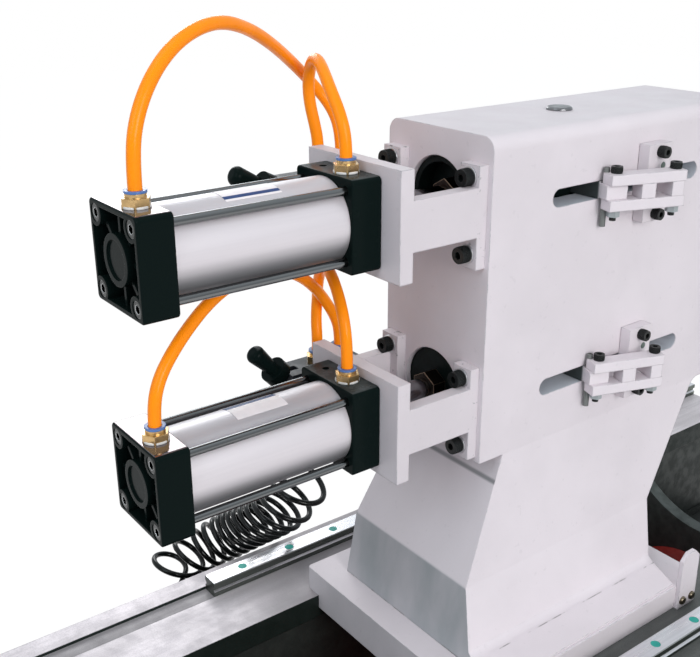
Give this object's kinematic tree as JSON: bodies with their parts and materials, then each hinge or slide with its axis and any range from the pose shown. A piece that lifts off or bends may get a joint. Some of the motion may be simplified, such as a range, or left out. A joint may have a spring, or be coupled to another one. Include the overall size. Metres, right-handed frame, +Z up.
{
  "type": "wood lathe tailstock end",
  "caption": "Tailstock end of an automatic wood lathe: cast bed with guide rails and a sliding tailstock whose stacked quills are pushed by air cylinders through hand valves.",
  "frame": {"origin": "on the underside of the bed, midway along it and midway between the two ways", "axes": "+X along the bed towards the headstock, +Y away from the operator, +Z up"},
  "size_m": [1.15, 0.5449, 0.7812],
  "materials": {
    "white_paint": "semi-gloss",
    "bed_paint": "satin",
    "tray_primer": "matte",
    "rail_steel": "ground",
    "plain_steel": "bright",
    "quill_steel": "blackened",
    "black_steel": "black oxide",
    "plug_steel": "dark",
    "cap_teal": "matte",
    "black_gloss": "gloss",
    "barrel_aluminium": "satin anodised",
    "chrome": "polished",
    "brass": "bright",
    "bronze": "machined",
    "blue_plastic": "satin",
    "orange_hose": "gloss",
    "black_hose": "gloss",
    "valve_slate": "satin"
  },
  "bodies": {
    "bed": {"rear_way_beam": "bed_paint", "front_way_beam": "bed_paint", "cross_ribs": "bed_paint", "chip_tray": "tray_primer", "rear_guide_rail": "rail_steel", "front_guide_rail": "rail_steel", "rail_screws": "black_steel", "rail_hole_caps": "cap_teal", "supply_bulkhead": "brass"},
    "tailstock": {"tailstock_body": "white_paint", "body_plug": "plug_steel", "quill_bushes": "bronze", "base_plate": "white_paint", "clamp_plates": "plain_steel", "clamp_bolts": "black_steel", "stop_bracket": "white_paint", "stop_bracket_screws": "plain_steel", "tailstock_screws": "black_steel", "port_fittings": "brass", "release_rings": "blue_plastic", "lever_pins": "plain_steel", "spiral_hose": "black_hose", "upper_rear_cap": "black_gloss", "upper_front_cap": "black_gloss", "upper_barrel": "barrel_aluminium", "upper_tie_rods": "chrome", "upper_cylinder_bracket": "white_paint", "upper_valve_body": "valve_slate", "upper_rear_hose": "orange_hose", "upper_front_hose": "orange_hose", "lower_rear_cap": "black_gloss", "lower_front_cap": "black_gloss", "lower_barrel": "barrel_aluminium", "lower_tie_rods": "chrome", "lower_cylinder_bracket": "white_paint", "lower_valve_body": "valve_slate", "lower_rear_hose": "orange_hose", "lower_front_hose": "orange_hose"},
    "upper_quill": {"upper_piston": "barrel_aluminium", "upper_piston_rod": "chrome", "upper_rod_nut": "brass", "upper_quill": "quill_steel", "upper_centre_bearings": "plain_steel", "upper_yoke_plates": "white_paint", "upper_yoke_key": "white_paint", "upper_guide_bar": "white_paint", "upper_yoke_bolts": "black_steel"},
    "upper_centre": {"upper_live_centre": "plain_steel"},
    "upper_lever": {"upper_valve_lever": "black_gloss"},
    "lower_quill": {"lower_piston": "barrel_aluminium", "lower_piston_rod": "chrome", "lower_rod_nut": "brass", "lower_quill": "quill_steel", "lower_centre_bearings": "plain_steel", "lower_yoke_plates": "white_paint", "lower_yoke_key": "white_paint", "lower_guide_bar": "white_paint", "lower_yoke_bolts": "black_steel"},
    "lower_centre": {"lower_live_centre": "plain_steel"},
    "lower_lever": {"lower_valve_lever": "black_gloss"}
  },
  "joints": [
    {"name": "tailstock_slide", "type": "slide", "parent": "bed", "child": "tailstock", "axis": [1, 0, 0], "range_m": [-0.06, 0.1], "deforming": ["spiral_hose"]},
    {"name": "upper_quill_slide", "type": "slide", "parent": "tailstock", "child": "upper_quill", "axis": [1, 0, 0], "range_m": [-0.036, 0.064]},
    {"name": "upper_centre_spin", "type": "hinge", "parent": "upper_quill", "child": "upper_centre", "pos_m": [0.3, 0, 0.6265], "axis": [1, 0, 0], "continuous": true},
    {"name": "upper_lever_tilt", "type": "hinge", "parent": "tailstock", "child": "upper_lever", "pos_m": [-0.207, 0.075, 0.6295], "axis": [0, 1, 0], "range_deg": [-11, 27]},
    {"name": "lower_quill_slide", "type": "slide", "parent": "tailstock", "child": "lower_quill", "axis": [1, 0, 0], "range_m": [-0.036, 0.064]},
    {"name": "lower_centre_spin", "type": "hinge", "parent": "lower_quill", "child": "lower_centre", "pos_m": [0.3, 0, 0.4515], "axis": [1, 0, 0], "continuous": true},
    {"name": "lower_lever_tilt", "type": "hinge", "parent": "tailstock", "child": "lower_lever", "pos_m": [-0.207, 0.075, 0.4545], "axis": [0, 1, 0], "range_deg": [-32, 6]}
  ]
}
